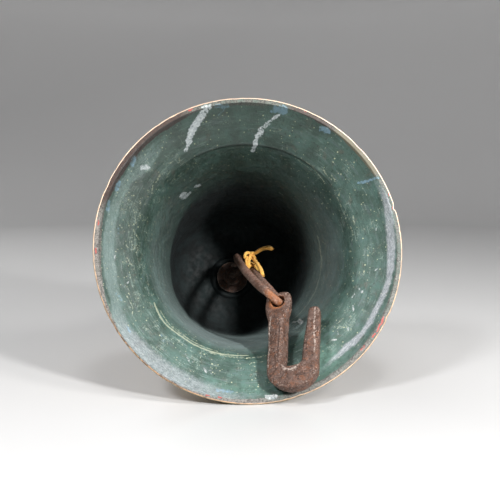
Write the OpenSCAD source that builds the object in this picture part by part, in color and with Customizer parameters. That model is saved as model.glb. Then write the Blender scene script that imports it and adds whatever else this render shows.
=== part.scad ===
// Church bell lying on its side, with a hook-shaped clapper on a long link.
//
// The bell and everything on it is drawn upright, in the bell's own frame: z = 0 is the plane of
// the mouth, +Z runs along the bell's axis to the crown, and +Y becomes the underside once the
// bell lies down. lay_down() then rests the lip and the shoulder bead on the table, z = 0.

/* [Bell] */
// Diameter of the mouth, over the lip
mouth_d = 280; // [270:1:290]
// Width of the flat face of the lip
lip_w = 5; // [4:0.5:7]
// Height of the inside, from the mouth to the crown plate
inside_h = 232; // [230:1:236]
// Radius of the moulding bead on the shoulder
shoulder_bead_r = 3; // [2:0.5:4]
// Radius of the raised ring cast round the bolt, inside the crown
boss_ring_r = 23; // [22:0.5:26]

/* [Crown bolt and hanging eye] */
// Diameter of the crown bolt
bolt_d = 14; // [12:1:15]
// Diameter of the rod that is bent into the clapper hanger
hanger_d = 9; // [8:0.5:10]
// Diameter of the hanger's cross pin, which the link swings on
pin_d = 7; // [6:0.5:7.5]
// Diameter of the dished iron washer inside the crown
inner_washer_d = 38; // [34:1:40]
// Diameter of the hole in the hanging eye
eye_hole_d = 28; // [24:1:30]
// Outer diameter of the hanging eye
eye_d = 50; // [46:1:56]
// Thickness of the hanging eye
eye_t = 14; // [12:1:18]

/* [Clapper link] */
// Diameter of the link's rod
rod_d = 7.5; // [7:0.5:8]
// Width of the gap inside the link
link_gap = 13; // [13:0.5:15]

/* [Clapper hook] */
// Length from the middle of the eye to the middle of the bend
hook_l = 85; // [78:1:86]
// Distance between the shank and the prong, centre to centre
hook_pitch = 31; // [30:1:34]
// Diameter of the shank below the eye
shank_d = 16.5; // [15:0.5:17]
// Diameter of the bar round the bend
bend_d = 16.5; // [15:0.5:17]
// Diameter of the tip of the prong
prong_tip_d = 9.5; // [8:0.5:11]
// Distance the tip stays below the middle of the eye
prong_drop = 9; // [6:1:14]
// How far the prong leans away from the shank at its tip
prong_splay = 4; // [0:0.5:5]
// Diameter of the punched hole
hook_hole_d = 15.5; // [15:0.25:16]
// Thickness of the flattened head
head_t = 9; // [8:0.5:10]

/* [Tie] */
// Diameter of the cord
cord_d = 4.5; // [4:0.5:5]
// Number of turns round the link's strand
tie_turns = 3; // [2:1:3]

/* [Hidden] */
$fn = 96;

mouth_r = mouth_d / 2;
// Rounding of the lip's outer edge
lip_round = 1.5;

// Outline points are [radius, height]. The flare follows the size of the mouth.
flare = mouth_r / 140;
inner_points = [[mouth_r - lip_w, 0], [126 * flare, 7], [113.5 * flare, 14.5], [102 * flare, 23],
    [94.5 * flare, 36], [88 * flare, 53], [84, 72], [80.5, 98], [77, 140], [74, 182], [69, 208],
    [58, 223], [42, 230], [28, inside_h]];
outer_points = [[mouth_r, lip_round], [136.5 * flare, 5], [129.5 * flare, 11], [122 * flare, 19],
    [113 * flare, 33], [104 * flare, 53], [97, 75], [91.5, 103], [87, 140], [83, 182], [78.5, 208],
    [73, 219], [62, 230], [46, 238], [32, 241]];
shoulder_bead_at = [78.5, 208];
boss_top = 244;
boss_r = 26;
// Moulding beads as [radius, height, bead radius], sunk to half their depth
beads = [[115.6 * flare, 28.5, 1.6], [110.8 * flare, 37, 2.2], [90.1, 113, 1.8], [89.2, 120, 2.6],
    [88.3, 127, 1.8], [80.9, 197, 1.8]];

// The bell lies on its lip and its shoulder bead, so their tangent plane gives the tilt
lip_centre = [mouth_r - lip_round, lip_round];
contact_step = lip_centre - shoulder_bead_at;
tilt = acos((shoulder_bead_r - lip_round) / norm(contact_step)) - atan2(-contact_step[1], contact_step[0]);
lift = lip_centre[0] * cos(tilt) + lip_centre[1] * sin(tilt) + lip_round;

// Hardware along the bell's axis
fit_gap = 0.3;
thread_gap = 0.1;
bolt_r = bolt_d / 2;
washer_t = 3;
washer_dish = 1.2;
collar_r = 11;
collar_t = 6;
collar_top = inside_h - washer_t;
packing_t = 3;
outer_washer_t = 3;
nut_t = 11;
nut_flats = 24;
nut_base = boss_top + packing_t + outer_washer_t;
eye_base = nut_base + nut_t;
eye_neck_l = 22;
eye_neck_r = 12;
bolt_end = eye_base + 17;
eye_centre = eye_base + eye_neck_l + eye_hole_d / 2;

// Hook: its shank points along hook_down, and hook_side points from the shank to the prong
eye_at = [28.5, 50.5, 38];
hook_lean = 30;
hook_skew = -7.5;
hook_turn = 25;
hook_down = [sin(hook_skew), cos(hook_skew) * cos(hook_lean), -cos(hook_skew) * sin(hook_lean)];
side_flat = unit([1, 0, 0] - hook_down[0] * hook_down);
hook_side = side_flat * cos(hook_turn) + cross(hook_down, side_flat) * sin(hook_turn);
hook_back = cross(hook_side, hook_down);

// Link: hangs on the pin, and the head of the hook rides on its lower bow
pin_at = [9, -11, 180];
rod_r = rod_d / 2;
bow_r = (link_gap + rod_d) / 2;
link_roll = 16;
// How far the rod sits from the middle of the hook's hole, and the bow's wire from the pin
hole_offset = 0.8;
pin_play = 0.4;
rod_aim = eye_at - hole_offset * hook_down;
aim = rod_aim - pin_at;
bow_out = unit(aim - (aim * hook_back) * hook_back);
low_bow_at = rod_aim - bow_r * bow_out;
link_down = unit(low_bow_at - pin_at);
wide_flat = unit(hook_back - (hook_back * link_down) * link_down);
link_wide = wide_flat * cos(link_roll) + cross(link_down, wide_flat) * sin(link_roll);
ride_angle = asin(-(hook_back * link_down));
rod_at = low_bow_at + bow_r * (cos(ride_angle) * link_down + sin(ride_angle) * link_wide);
hole_at = rod_at + hole_offset * hook_down;
strand_l = norm(low_bow_at - pin_at);
top_bow_y = pin_d / 2 + rod_r + pin_play - bow_r;
pin_dir = unit(cross([0, 0, 1], link_down));

// Where two forged lengths meet, the metal stands this much proud
knuckle = 0.25;

// Hanger: the rod steps aside from the bolt's axis, then turns back across as the pin
hanger_knee = [0, 0, 209];
hanger_elbow = pin_at - 15.5 * pin_dir + [1, 1.5, 20];
pin_root = pin_at - 13 * pin_dir + [0, 0, 1.5];
pin_straight = 8;
pin_tip = pin_at + 15 * pin_dir + [0, -1, 1];

// Cord, tied round the strand of the link that is farther from the mouth
cord_r = cord_d / 2;
wrap_pitch = cord_d + 0.1;
wrap_top_y = -9.5;
wrap_gap = 0.05;
wrap_r = rod_r + cord_r + wrap_gap;
knot_at = [18, -16, 167];
knot_r = 5.5;
long_route = [[22, -19, 166], [27, -22, 161], [32, -23, 154], [36, -22, 147], [38, -20, 141]];
short_route = [[20, -12, 164], [22, -8, 159], [24, -3, 153], [26, 3, 147], [27, 9, 143]];
cord_sides = 10;

// The middle of the box round everything stands over the origin
hook_front_y = -53.18;
bell_y = -(eye_centre * cos(tilt) + eye_d / 2 + hook_front_y) / 2;

function unit(v) = v / norm(v);

// A smooth curve through the points, with the given number of steps between neighbours
function point_at(p, i) = p[max(0, min(len(p) - 1, i))];
function blend_point(a, b, c, d, t) =
    0.5 * (2 * b + (c - a) * t + (2 * a - 5 * b + 4 * c - d) * t * t + (3 * b - 3 * c + d - a) * t * t * t);
function smooth(p, steps) = [
    for (i = [0 : len(p) - 2])
        for (s = [0 : steps - 1])
            blend_point(point_at(p, i - 1), p[i], p[i + 1], point_at(p, i + 2), s / steps),
    p[len(p) - 1]
];

module lay_down() {
    translate([0, bell_y, lift]) rotate([-(90 + tilt), 0, 0]) children();
}

// Puts the children's x, y and z axes on the three given directions
module place(at, x, y, z) {
    multmatrix([
        [x[0], y[0], z[0], at[0]],
        [x[1], y[1], z[1], at[1]],
        [x[2], y[2], z[2], at[2]],
        [0, 0, 0, 1]
    ]) children();
}

// Puts the children's +Z along the line from a to b
module along(a, b) {
    d = b - a;
    turn = atan2(d[1], d[0]);
    lean = acos(d[2] / norm(d));
    translate(a) rotate([0, lean, turn]) children();
}

module rod(a, b, r1, r2) {
    along(a, b) cylinder(h = norm(b - a), r1 = r1, r2 = r2);
}

module disc(base, h, r, hole_r) {
    translate([0, 0, base]) difference() {
        cylinder(h = h, r = r);
        translate([0, 0, -1]) cylinder(h = h + 2, r = hole_r);
    }
}

// A tube swept along the route, with flat ends
function ring_frame(p, i) = unit(point_at(p, i + 1) - point_at(p, i - 1));
function ring_side(p, i) = unit(cross(ring_frame(p, i), [0, 0, 1]));
function ring(p, i, r) = [
    for (k = [0 : cord_sides - 1])
        let (a = 360 * k / cord_sides)
            p[i] + r * (cos(a) * ring_side(p, i) + sin(a) * cross(ring_side(p, i), ring_frame(p, i)))
];
module tube(p, r) {
    n = cord_sides;
    last = (len(p) - 1) * n;
    polyhedron(
        points = [for (i = [0 : len(p) - 1]) each ring(p, i, r)],
        faces = concat(
            [[for (k = [0 : n - 1]) n - 1 - k]],
            [for (i = [0 : len(p) - 2]) for (k = [0 : n - 1])
                [i * n + k, i * n + (k + 1) % n, (i + 1) * n + (k + 1) % n]],
            [for (i = [0 : len(p) - 2]) for (k = [0 : n - 1])
                [i * n + k, (i + 1) * n + (k + 1) % n, (i + 1) * n + k]],
            [[for (k = [0 : n - 1]) last + k]]
        )
    );
}

module bell_wall() {
    inside = smooth(inner_points, 4);
    outside = smooth(outer_points, 4);
    rotate_extrude() polygon(concat(
        inside,
        [[0, inside_h], [0, boss_top], [boss_r, boss_top], [boss_r, outside[len(outside) - 1][1]]],
        [for (i = [len(outside) - 1 : -1 : 0]) outside[i]],
        [[lip_centre[0], 0]]
    ));
}

module bead(at, r) {
    rotate_extrude() translate(at) circle(r = r, $fn = 32);
}

module bell() color("darkkhaki") lay_down() difference() {
    union() {
        bell_wall();
        bead(lip_centre, lip_round);
        bead(shoulder_bead_at, shoulder_bead_r);
        for (b = beads) bead([b[0], b[1]], b[2]);
        bead([boss_ring_r, inside_h], 3);
    }
    translate([0, 0, inside_h - 5]) cylinder(h = boss_top - inside_h + 10, r = bolt_r + 2 * fit_gap);
}

module crown_bolt() color("saddlebrown") lay_down() {
    hanger_r = hanger_d / 2;
    pin_r = pin_d / 2;
    pin_tip_r = 1.5;
    pin_near = pin_at - pin_straight * pin_dir;
    pin_far = pin_at + pin_straight * pin_dir;
    translate([0, 0, collar_top]) cylinder(h = bolt_end - collar_top, r = bolt_r);
    translate([0, 0, collar_top - collar_t]) cylinder(h = collar_t, r = collar_r);
    rod([0, 0, collar_top - 1], hanger_knee, hanger_r + 1, hanger_r);
    translate(hanger_knee) sphere(r = hanger_r + knuckle);
    rod(hanger_knee, hanger_elbow, hanger_r, hanger_r);
    translate(hanger_elbow) sphere(r = hanger_r + knuckle);
    rod(hanger_elbow, pin_root, hanger_r, pin_r);
    translate(pin_root) sphere(r = pin_r + knuckle);
    rod(pin_root, pin_near, pin_r, pin_r);
    translate(pin_near) sphere(r = pin_r + knuckle);
    rod(pin_near, pin_far, pin_r, pin_r);
    translate(pin_far) sphere(r = pin_r + knuckle);
    rod(pin_far, pin_tip, pin_r, pin_tip_r);
}

// Dished, so that its rim stands a little off the crown plate
module inner_washer() color("sienna") lay_down() {
    r = inner_washer_d / 2;
    hole_r = bolt_r + fit_gap;
    top = inside_h;
    rotate_extrude() polygon([
        [hole_r, top], [hole_r, top - washer_t], [collar_r, top - washer_t],
        [r, top - washer_t - washer_dish], [r, top - washer_dish], [collar_r, top]
    ]);
}

module packing_ring() color("peru") lay_down() disc(boss_top, packing_t, 21, bolt_r + fit_gap);

module outer_washer() color("dimgray") lay_down() {
    disc(boss_top + packing_t, outer_washer_t, 19, bolt_r + fit_gap);
}

module lock_nut() color("dimgray") lay_down() {
    corner_r = nut_flats / 2 / cos(30);
    translate([0, 0, nut_base]) difference() {
        cylinder(h = nut_t, r = corner_r, $fn = 6);
        translate([0, 0, -1]) cylinder(h = nut_t + 2, r = bolt_r + thread_gap);
    }
}

module hanging_eye() color("dimgray") lay_down() difference() {
    union() {
        translate([0, 0, eye_base]) cylinder(h = eye_neck_l, r1 = eye_neck_r + 1, r2 = eye_neck_r);
        translate([0, 0, eye_centre]) rotate([0, 90, 0]) cylinder(h = eye_t, d = eye_d, center = true);
    }
    translate([0, 0, eye_centre]) rotate([0, 90, 0]) cylinder(h = 2 * eye_t, d = eye_hole_d, center = true);
    translate([0, 0, eye_base - 1]) {
        cylinder(h = bolt_end - eye_base + 1.5, r = bolt_r + thread_gap);
    }
}

module bow() {
    rotate_extrude(angle = 180) translate([bow_r, 0]) circle(r = rod_r, $fn = 48);
}

module clapper_link() color("rosybrown") lay_down()
    place(pin_at, link_wide, -link_down, cross(link_wide, -link_down)) {
        for (side = [-1, 1]) {
            translate([side * bow_r, top_bow_y, 0]) rotate([90, 0, 0]) {
                cylinder(h = strand_l + top_bow_y, r = rod_r, $fn = 48);
            }
        }
        translate([0, top_bow_y, 0]) bow();
        translate([0, -strand_l, 0]) rotate([180, 0, 0]) bow();
    }

// A plate with rounded corners, standing on its middle
module rounded_plate(w, h, r, t) {
    steps = 6;
    linear_extrude(height = t, center = true) polygon([
        for (corner = [0 : 3])
            for (s = [0 : steps])
                let (a = 90 * (corner + s / steps), q = 90 * corner + 45)
                    [sign(cos(q)) * (w / 2 - r) + r * cos(a), sign(sin(q)) * (h / 2 - r) + r * sin(a)]
    ]);
}

module clapper_hook() color("rosybrown") lay_down()
    place(hole_at, hook_side, -hook_down, -hook_back) difference() {
        bend_r = bend_d / 2;
        turn_r = hook_pitch / 2;
        bend_y = -(hook_l - turn_r);
        tip_r = prong_tip_d / 2;
        tip = [hook_pitch + prong_splay, -prong_drop - tip_r, 0];
        neck_top = [0, -10, 0];
        neck_end = [0, -16, 0];
        union() {
            translate([-0.5, -1.5, 0]) rounded_plate(25, 25, 8, head_t);
            rod(neck_top, neck_end, head_t / 2 - 0.5, shank_d / 2);
            rod(neck_end, [0, bend_y, 0], shank_d / 2, bend_r);
            translate([0, bend_y, 0]) sphere(r = bend_r + knuckle);
            translate([turn_r, bend_y, 0]) rotate([180, 0, 0]) {
                rotate_extrude(angle = 180) translate([turn_r, 0]) circle(r = bend_r, $fn = 48);
            }
            translate([hook_pitch, bend_y, 0]) sphere(r = bend_r + knuckle);
            rod([hook_pitch, bend_y, 0], tip, bend_r, tip_r);
            translate(tip) sphere(r = tip_r + knuckle);
        }
        cylinder(h = 2 * head_t, d = hook_hole_d, center = true);
    }

module tie_wrap() color("goldenrod") lay_down()
    place(pin_at, link_wide, -link_down, cross(link_wide, -link_down)) {
        for (turn = [0 : tie_turns - 1]) {
            translate([bow_r, wrap_top_y - turn * wrap_pitch, 0]) rotate([90, 0, 0]) {
                rotate_extrude() translate([wrap_r, 0]) circle(r = cord_r, $fn = 24);
            }
        }
    }

module tie_knot() color("goldenrod") lay_down() {
    translate(knot_at) sphere(r = knot_r);
}

module tie_tail_long() color("goldenrod") lay_down() tube(long_route, cord_r);

module tie_tail_short() color("goldenrod") lay_down() tube(short_route, cord_r);

bell();
crown_bolt();
inner_washer();
packing_ring();
outer_washer();
lock_nut();
hanging_eye();
clapper_link();
clapper_hook();
tie_wrap();
tie_knot();
tie_tail_long();
tie_tail_short();
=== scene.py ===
"""A church bell lying on its side: cast bell, forged clapper and hanger, and the cord round its link.

Lengths are in millimetres in the bell's own frame, as in the CAD source: z = 0 is the plane of the mouth,
+Z runs to the crown, and +Y becomes the underside once the bell lies down. Meshes are made in metres.
"""

import math

import bpy
import numpy as np
from mathutils import Matrix, Vector


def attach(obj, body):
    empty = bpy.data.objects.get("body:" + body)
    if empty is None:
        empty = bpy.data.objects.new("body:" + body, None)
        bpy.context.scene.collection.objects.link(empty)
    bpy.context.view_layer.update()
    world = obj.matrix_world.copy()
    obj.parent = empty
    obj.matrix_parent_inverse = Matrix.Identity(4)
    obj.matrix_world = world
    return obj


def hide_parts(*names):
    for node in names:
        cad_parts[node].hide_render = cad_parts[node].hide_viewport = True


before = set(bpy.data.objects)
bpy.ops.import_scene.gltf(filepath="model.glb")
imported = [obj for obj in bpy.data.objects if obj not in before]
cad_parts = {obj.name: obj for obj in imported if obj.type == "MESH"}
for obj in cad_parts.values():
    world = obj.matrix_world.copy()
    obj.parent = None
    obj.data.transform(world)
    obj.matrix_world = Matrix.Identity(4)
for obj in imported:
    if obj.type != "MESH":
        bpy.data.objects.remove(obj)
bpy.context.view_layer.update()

MM = 0.001
TURN = 2 * math.pi
# Points round the section of a bar or a cord
SWEEP_SIDES = 40

# How the bell lies, as in the CAD source
TILT = math.radians(15.8019)
LIFT = 135.174
BELL_Y = -128.798
LAID = (Matrix.Translation((0, BELL_Y * MM, LIFT * MM))
        @ Matrix.Rotation(-(math.pi / 2 + TILT), 4, "X"))

# The camera stands in front of the mouth, a little to the left and above
CAMERA_FROM_MOUTH = (-0.06317, -0.61629, 0.06591)
CAMERA_YAW = math.radians(5.786)
CAMERA_PITCH = math.radians(6.453)
LENS = 49.9


def make_camera():
    data = bpy.data.cameras.new("camera")
    data.lens = LENS
    data.sensor_width = 36
    camera = bpy.data.objects.new("camera", data)
    bpy.context.scene.collection.objects.link(camera)
    camera.location = LAID.translation + Vector(CAMERA_FROM_MOUTH)
    camera.rotation_euler = (math.pi / 2 - CAMERA_PITCH, 0, -CAMERA_YAW)
    data.clip_start = 0.01
    bpy.context.scene.camera = camera


# ---------------------------------------------------------------- numbers and curves

def unit(v):
    v = np.asarray(v, float)
    return v / np.linalg.norm(v)


def smooth(points, steps):
    """A Catmull-Rom curve through the points, with the given number of steps between neighbours."""
    p = np.asarray(points, float)
    padded = np.vstack([p[:1], p, p[-1:]])
    t = (np.arange(steps) / steps)[:, None]
    curve = [
        0.5 * (2 * b + (c - a) * t + (2 * a - 5 * b + 4 * c - d) * t**2 + (3 * b - 3 * c + d - a) * t**3)
        for a, b, c, d in zip(padded, padded[1:], padded[2:], padded[3:])
    ]
    return np.vstack(curve + [p[-1:]])


def resample(points, spacing):
    """The same line with points evenly spaced along it."""
    p = np.asarray(points, float)
    along = np.concatenate([[0], np.cumsum(np.linalg.norm(np.diff(p, axis=0), axis=1))])
    count = max(2, round(along[-1] / spacing) + 1)
    at = np.linspace(0, along[-1], count)
    return np.stack([np.interp(at, along, p[:, k]) for k in range(p.shape[1])], axis=1)


def ease(value, low, high):
    """0 below low, 1 above high, and smooth between."""
    t = np.clip((np.asarray(value, float) - low) / (high - low), 0, 1)
    return t * t * (3 - 2 * t)


def lattice(cell, seed):
    """A repeatable random number from -1 to 1 for each whole-number cell."""
    x, y, z = (cell[..., k].astype(np.int64) for k in range(3))
    h = (x * 374761393 + y * 668265263 + z * 1440662683 + seed * 974711) & 0xFFFFFFFF
    h = ((h ^ (h >> 13)) * 1274126177) & 0xFFFFFFFF
    h = ((h ^ (h >> 16)) * 668265263) & 0xFFFFFFFF
    return ((h >> 8) & 0xFFFF) / 32767.5 - 1


def noise(points, size, seed, octaves=1):
    """Smooth noise from about -1 to 1, with features of the given size."""
    total = np.zeros(points.shape[:-1])
    weight_sum = 0
    for octave in range(octaves):
        p = points / size * 2**octave + 17.3 * octave
        cell = np.floor(p)
        f = p - cell
        w = f * f * f * (f * (f * 6 - 15) + 10)
        value = 0
        for corner in range(8):
            step = np.array([corner & 1, corner >> 1 & 1, corner >> 2 & 1])
            share = np.prod(np.where(step, w, 1 - w), axis=-1)
            value = value + share * lattice(cell + step, seed + octave)
        total += value * 0.5**octave
        weight_sum += 0.5**octave
    return total / weight_sum


# ---------------------------------------------------------------- meshes

def new_object(name, points, faces, at=None):
    """An object from points in millimetres in the bell's frame, or in the frame given as a matrix in it."""
    mesh = bpy.data.meshes.new(name)
    points = np.asarray(points, float) * MM
    mesh.from_pydata(points.tolist(), [], [tuple(f) for f in faces])
    mesh.validate()
    mesh.polygons.foreach_set("use_smooth", [True] * len(mesh.polygons))
    obj = bpy.data.objects.new(name, mesh)
    bpy.context.scene.collection.objects.link(obj)
    obj.matrix_world = LAID if at is None else LAID @ at
    return obj


def grid_faces(rows, columns, wrap_rows=False):
    """Quads over a grid whose columns run round, and whose rows may too."""
    i = np.arange(rows if wrap_rows else rows - 1)[:, None] * np.ones(columns, int)
    j = np.ones(i.shape[0], int)[:, None] * np.arange(columns)
    a = i * columns + j
    b = i * columns + (j + 1) % columns
    up = (i + 1) % rows * columns
    c = up + (j + 1) % columns
    d = up + j
    return np.stack([a, b, c, d], axis=-1).reshape(-1, 4)


def lathe(profile, segments, radius_at=None):
    """Points of a closed outline of (radius, height) turned round Z, with its faces."""
    angle = np.arange(segments) * TURN / segments
    r = np.repeat(profile[:, :1], segments, axis=1)
    if radius_at is not None:
        r = radius_at(r, profile[:, 1:2], angle[None, :])
    z = np.repeat(profile[:, 1:2], segments, axis=1)
    points = np.stack([r * np.cos(angle), r * np.sin(angle), z], axis=-1)
    return points.reshape(-1, 3), grid_faces(len(profile), segments, wrap_rows=True)


def frames_along(path, up):
    """Tangent, side and lift at each point of a path, turning as little as they can."""
    tangent = np.gradient(path, axis=0)
    tangent /= np.linalg.norm(tangent, axis=1)[:, None]
    sides = []
    side = unit(np.cross(up, tangent[0]))
    for t in tangent:
        side = unit(side - (side @ t) * t)
        sides.append(side)
    sides = np.array(sides)
    return tangent, sides, np.cross(tangent, sides)


def sweep(path, section, up=(0, 0, 1), closed=False):
    """A solid whose section(i, angle) gives (across, lift) at each point of the path."""
    angle = np.arange(SWEEP_SIDES) * TURN / SWEEP_SIDES
    _, side, lift = frames_along(path, np.asarray(up, float))
    rings = []
    for i, at in enumerate(path):
        across, high = section(i, angle)
        rings.append(at + across[:, None] * side[i] + high[:, None] * lift[i])
    points = np.vstack(rings)
    faces = grid_faces(len(path), SWEEP_SIDES, wrap_rows=closed).tolist()
    if not closed:
        last = (len(path) - 1) * SWEEP_SIDES
        faces.append(list(range(SWEEP_SIDES))[::-1])
        faces.append([last + k for k in range(SWEEP_SIDES)])
    return points, faces


def oval(half_width, half_height, power=2.0):
    """A section that is an oval at power 2, and squarer above."""
    def at(angle):
        c, s = np.cos(angle), np.sin(angle)
        reach = (np.abs(c) ** power + np.abs(s) ** power) ** (-1 / power)
        return half_width * c * reach, half_height * s * reach
    return at


def joined(*parts):
    """Several (points, faces) as one."""
    points, faces, start = [], [], 0
    for p, f in parts:
        points.append(np.asarray(p, float))
        faces += [[start + k for k in face] for face in f]
        start += len(p)
    return np.vstack(points), faces


def baked(obj):
    """Replaces the object's mesh with what its modifiers make of it."""
    graph = bpy.context.evaluated_depsgraph_get()
    mesh = bpy.data.meshes.new_from_object(obj.evaluated_get(graph))
    obj.modifiers.clear()
    old = obj.data
    obj.data = mesh
    bpy.data.meshes.remove(old)
    mesh.polygons.foreach_set("use_smooth", [True] * len(mesh.polygons))


def fused(obj, voxel, rounding, cutter=None):
    """Melts the object's overlapping parts into one skin, cuts it, and softens its edges."""
    remesh = obj.modifiers.new("melt", "REMESH")
    remesh.mode = "VOXEL"
    remesh.voxel_size = voxel * MM
    if cutter is not None:
        cut = obj.modifiers.new("cut", "BOOLEAN")
        cut.operation = "DIFFERENCE"
        cut.object = cutter
        again = obj.modifiers.new("melt_again", "REMESH")
        again.mode = "VOXEL"
        again.voxel_size = voxel * MM
    soften = obj.modifiers.new("soften", "SMOOTH")
    soften.factor = 0.5
    soften.iterations = rounding
    baked(obj)
    if cutter is not None:
        bpy.data.objects.remove(cutter)


def positions(obj):
    """The mesh's points in millimetres, in the object's own frame."""
    flat = np.empty(len(obj.data.vertices) * 3, np.float32)
    obj.data.vertices.foreach_get("co", flat)
    return flat.reshape(-1, 3).astype(float) / MM


def normals(obj):
    flat = np.empty(len(obj.data.vertices) * 3, np.float32)
    obj.data.vertex_normals.foreach_get("vector", flat)
    return flat.reshape(-1, 3).astype(float)


def reshape(obj, points):
    """Gives the mesh's points new places, in millimetres."""
    obj.data.vertices.foreach_set("co", (points * MM).astype(np.float32).ravel())
    obj.data.update()


def push(obj, distance):
    """Moves each point along its normal by its distance in millimetres."""
    reshape(obj, positions(obj) + normals(obj) * np.asarray(distance)[:, None])


def mask(obj, name, values):
    """Stores a number from 0 to 1 at each point, for the material to read."""
    attribute = obj.data.attributes.new(name, "FLOAT", "POINT")
    attribute.data.foreach_set("value", np.clip(values, 0, 1).astype(np.float32))


def vectors(obj, name, values):
    """Stores a vector in metres at each point, for the material to read."""
    attribute = obj.data.attributes.new(name, "FLOAT_VECTOR", "POINT")
    attribute.data.foreach_set("vector", (values * MM).astype(np.float32).ravel())


def settle(obj):
    """Puts the object's place into its mesh, so that its box is its own."""
    obj.data.transform(obj.matrix_world)
    obj.matrix_world = Matrix.Identity(4)


def finish_piece(obj, material, body, slot, *nodes):
    obj.data.materials.clear()
    obj.data.materials.append(material)
    settle(obj)
    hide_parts(*nodes)
    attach(obj, body)


# ---------------------------------------------------------------- materials

class Paint:
    """Builds one node material, coat by coat."""

    def __init__(self, name):
        self.material = bpy.data.materials.new(name)
        self.material.use_nodes = True
        self.tree = self.material.node_tree
        self.tree.nodes.clear()
        self.shader = self.tree.nodes.new("ShaderNodeBsdfPrincipled")
        output = self.tree.nodes.new("ShaderNodeOutputMaterial")
        self.tree.links.new(self.shader.outputs[0], output.inputs["Surface"])
        self.place = self.tree.nodes.new("ShaderNodeTexCoord").outputs["Object"]
        self.colour = None

    def put(self, socket, value):
        if isinstance(value, bpy.types.NodeSocket):
            self.tree.links.new(value, socket)
        elif isinstance(value, tuple) and len(value) == 3 and socket.type == "RGBA":
            socket.default_value = (*value, 1)
        else:
            socket.default_value = value

    def noise(self, size, detail=4, rough=0.55, stretch=None, vector=None, warp=0):
        """Noise from 0 to 1 with features of the given size in millimetres."""
        node = self.tree.nodes.new("ShaderNodeTexNoise")
        node.inputs["Scale"].default_value = 1 / (size * MM)
        node.inputs["Detail"].default_value = detail
        node.inputs["Roughness"].default_value = rough
        node.inputs["Distortion"].default_value = warp
        vector = vector or self.place
        if stretch:
            mapping = self.tree.nodes.new("ShaderNodeMapping")
            mapping.inputs["Scale"].default_value = stretch
            self.put(mapping.inputs["Vector"], vector)
            vector = mapping.outputs[0]
        self.put(node.inputs["Vector"], vector)
        return node.outputs[0]

    def cells(self, size):
        """Distance to the nearest of many scattered points, in cell sizes."""
        node = self.tree.nodes.new("ShaderNodeTexVoronoi")
        node.inputs["Scale"].default_value = 1 / (size * MM)
        self.put(node.inputs["Vector"], self.place)
        return node.outputs["Distance"]

    def attribute(self, name, kind="Fac"):
        node = self.tree.nodes.new("ShaderNodeAttribute")
        node.attribute_name = name
        return node.outputs[kind]

    def pointiness(self):
        return self.tree.nodes.new("ShaderNodeNewGeometry").outputs["Pointiness"]

    def math(self, operation, a, b=0.0, clamp=False):
        node = self.tree.nodes.new("ShaderNodeMath")
        node.operation = operation
        node.use_clamp = clamp
        self.put(node.inputs[0], a)
        self.put(node.inputs[1], b)
        return node.outputs[0]

    def times(self, a, b):
        return self.math("MULTIPLY", a, b)

    def plus(self, a, b, clamp=False):
        return self.math("ADD", a, b, clamp)

    def step(self, value, low, high, to_low=0.0, to_high=1.0):
        """to_low below low, to_high above high, and smooth between."""
        node = self.tree.nodes.new("ShaderNodeMapRange")
        node.interpolation_type = "SMOOTHSTEP"
        for name, v in (("Value", value), ("From Min", low), ("From Max", high),
                        ("To Min", to_low), ("To Max", to_high)):
            self.put(node.inputs[name], v)
        return node.outputs[0]

    def mix(self, factor, a, b, blend="MIX"):
        node = self.tree.nodes.new("ShaderNodeMix")
        node.data_type = "RGBA"
        node.blend_type = blend
        self.put(node.inputs[0], factor)
        self.put(node.inputs[6], a)
        self.put(node.inputs[7], b)
        return node.outputs[2]

    def ground(self, factor, a, b):
        """The first coat: two shades mixed."""
        self.colour = self.mix(factor, a, b)

    def coat(self, factor, shade, strength=None):
        """Lays a shade over the colour so far, as thick as the factor times the strength."""
        if strength is not None:
            factor = self.times(factor, strength)
        self.colour = self.mix(factor, self.colour, shade)

    def ragged(self, name, size, reach, low, high):
        """A stored mask with its edge broken up by noise."""
        shift = self.times(self.math("SUBTRACT", self.noise(size), 0.5), reach * 2)
        return self.step(self.plus(self.attribute(name), shift), low, high)

    def bump(self, height, distance, strength=1.0):
        """A bump of the given height in millimetres."""
        node = self.tree.nodes.new("ShaderNodeBump")
        node.inputs["Strength"].default_value = strength
        node.inputs["Distance"].default_value = distance * MM
        self.put(node.inputs["Height"], height)
        return node.outputs[0]

    def done(self, roughness, normal=None, metallic=0.0, **constants):
        self.put(self.shader.inputs["Base Color"], self.colour)
        self.put(self.shader.inputs["Roughness"], roughness)
        self.put(self.shader.inputs["Metallic"], metallic)
        if normal is not None:
            self.put(self.shader.inputs["Normal"], normal)
        for name, value in constants.items():
            self.put(self.shader.inputs[name.replace("_", " ")], value)
        return self.material


def srgb(r, g, b):
    """A colour given from 0 to 255 as on a screen, as the shader wants it."""
    return tuple((c / 255 / 12.92) if c <= 10 else ((c / 255 + 0.055) / 1.055) ** 2.4 for c in (r, g, b))


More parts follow.
